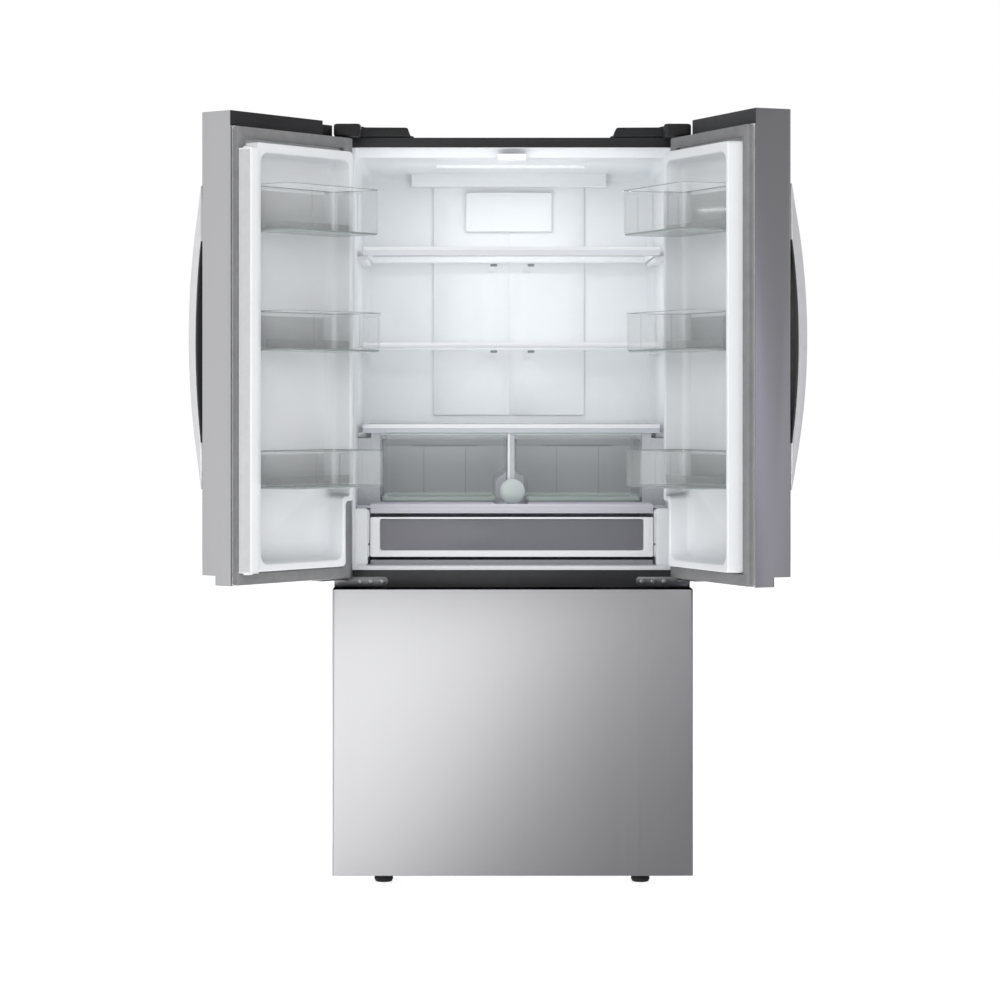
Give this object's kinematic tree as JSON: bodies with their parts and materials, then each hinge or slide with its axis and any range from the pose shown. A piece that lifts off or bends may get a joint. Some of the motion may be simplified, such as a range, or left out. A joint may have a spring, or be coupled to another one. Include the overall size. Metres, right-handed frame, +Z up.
{
  "type": "french door refrigerator",
  "caption": "Bottom freezer refrigerator with two hinged doors, a folding centre mullion, door bins, glass shelves, crispers, a full-width pantry drawer and a pull-out freezer drawer.",
  "frame": {"origin": "on the floor, below the middle of the cabinet's front face", "axes": "+X to the viewer's right, +Y from the front to the back, +Z up; the doors face -Y"},
  "size_m": [1.3834, 1.0453, 1.769],
  "materials": {
    "case_paint": "satin",
    "galvanised": "matte",
    "stainless": "satin",
    "insulation": "matte",
    "white_liner": "satin",
    "white_trim": "satin",
    "charcoal_plastic": "satin",
    "lamp_diffuser": "gloss",
    "shelf_glass": "gloss",
    "clear_plastic": "gloss",
    "frosted_plastic": "satin",
    "zinc_steel": "satin",
    "black_enamel": "gloss",
    "coil_aluminium": "satin",
    "gasket_rubber": "matte",
    "mullion_metal": "satin",
    "fan_plastic": "satin",
    "black_rubber": "matte",
    "inner_panel": "satin"
  },
  "bodies": {
    "cabinet": {"side_panel_left": "case_paint", "side_panel_right": "case_paint", "top_panel": "case_paint", "back_panel": "galvanised", "base_pan": "galvanised", "insulation_foam": "insulation", "fresh_food_liner": "white_liner", "freezer_liner": "white_liner", "centre_mullion": "case_paint", "air_duct_panel": "white_trim", "led_lamp_cover": "lamp_diffuser", "mullion_guide": "white_trim", "shelf_frames": "white_trim", "shelf_glasses": "shelf_glass", "crisper_frame": "white_trim", "pantry_cover": "frosted_plastic", "hinge_covers": "charcoal_plastic", "top_hinges": "zinc_steel", "middle_hinges": "zinc_steel", "compressor": "black_enamel", "condenser": "coil_aluminium", "machine_cover": "galvanised", "evaporator": "coil_aluminium", "slide_rails": "zinc_steel", "cord_gland": "black_rubber"},
    "left_door": {"left_door_skin": "stainless", "left_door_core": "insulation", "left_door_liner": "white_liner", "left_door_gasket": "gasket_rubber", "left_door_caps": "charcoal_plastic", "left_handle": "stainless", "left_bin_upper": "clear_plastic", "left_bin_middle": "clear_plastic", "left_bin_lower": "clear_plastic"},
    "right_door": {"right_door_skin": "stainless", "right_door_core": "insulation", "right_door_liner": "white_liner", "right_door_gasket": "gasket_rubber", "right_door_caps": "charcoal_plastic", "right_handle": "stainless", "right_bin_upper": "clear_plastic", "right_bin_middle": "clear_plastic", "right_bin_lower": "clear_plastic"},
    "flip_mullion": {"flip_mullion": "mullion_metal"},
    "freezer_drawer": {"drawer_skin": "stainless", "drawer_core": "inner_panel", "drawer_cap": "charcoal_plastic", "drawer_gasket": "gasket_rubber", "drawer_runners": "zinc_steel", "freezer_basket": "white_trim"},
    "slide_carriages": {"slide_carriages": "zinc_steel"},
    "freezer_tray": {"freezer_tray": "white_trim"},
    "crisper_left": {"crisper_left": "clear_plastic"},
    "crisper_right": {"crisper_right": "clear_plastic"},
    "pantry_drawer": {"pantry_drawer": "white_trim"},
    "evaporator_fan": {"evaporator_fan": "fan_plastic"},
    "condenser_fan": {"condenser_fan": "fan_plastic"},
    "rear_rollers": {"rear_rollers": "black_rubber"},
    "front_foot_left": {"front_foot_left": "black_rubber"},
    "front_foot_right": {"front_foot_right": "black_rubber"}
  },
  "joints": [
    {"name": "left_door_hinge", "type": "hinge", "parent": "cabinet", "child": "left_door", "pos_m": [-0.401, -0.041, 0.72], "axis": [0, 0, -1], "range_deg": [-128.4, 6.6]},
    {"name": "right_door_hinge", "type": "hinge", "parent": "cabinet", "child": "right_door", "pos_m": [0.401, -0.041, 0.72], "axis": [0, 0, 1], "range_deg": [-112.2, 22.8]},
    {"name": "flip_mullion_hinge", "type": "hinge", "parent": "left_door", "child": "flip_mullion", "pos_m": [-0.59704, -0.37689, 1.2], "axis": [0, 0, 1], "range_deg": [-90, 0]},
    {"name": "freezer_drawer_slide", "type": "slide", "parent": "cabinet", "child": "freezer_drawer", "axis": [0, -1, 0], "range_m": [0, 0.42]},
    {"name": "slide_carriage_travel", "type": "slide", "parent": "cabinet", "child": "slide_carriages", "axis": [0, -1, 0], "range_m": [0, 0.21]},
    {"name": "freezer_tray_slide", "type": "slide", "parent": "freezer_drawer", "child": "freezer_tray", "axis": [0, 1, 0], "range_m": [0, 0.12]},
    {"name": "crisper_left_slide", "type": "slide", "parent": "cabinet", "child": "crisper_left", "axis": [0, -1, 0], "range_m": [0, 0.25]},
    {"name": "crisper_right_slide", "type": "slide", "parent": "cabinet", "child": "crisper_right", "axis": [0, -1, 0], "range_m": [0, 0.25]},
    {"name": "pantry_drawer_slide", "type": "slide", "parent": "cabinet", "child": "pantry_drawer", "axis": [0, -1, 0], "range_m": [0, 0.3]},
    {"name": "evaporator_fan_spin", "type": "hinge", "parent": "cabinet", "child": "evaporator_fan", "pos_m": [0, 0.498, 0.588], "axis": [0, 1, 0], "continuous": true},
    {"name": "condenser_fan_spin", "type": "hinge", "parent": "cabinet", "child": "condenser_fan", "pos_m": [0.06, 0.505, 0.155], "axis": [1, 0, 0], "continuous": true},
    {"name": "rear_rollers_roll", "type": "hinge", "parent": "cabinet", "child": "rear_rollers", "pos_m": [0, 0.56, 0.018], "axis": [1, 0, 0], "continuous": true},
    {"name": "front_foot_left_turn", "type": "hinge", "parent": "cabinet", "child": "front_foot_left", "pos_m": [-0.3005, 0.008, 0], "axis": [0, 0, 1], "continuous": true},
    {"name": "front_foot_right_turn", "type": "hinge", "parent": "cabinet", "child": "front_foot_right", "pos_m": [0.3005, 0.008, 0], "axis": [0, 0, 1], "continuous": true}
  ],
  "couplings": [
    {"joint": "slide_carriage_travel", "follows": "freezer_drawer_slide", "ratio": 0.5}
  ]
}
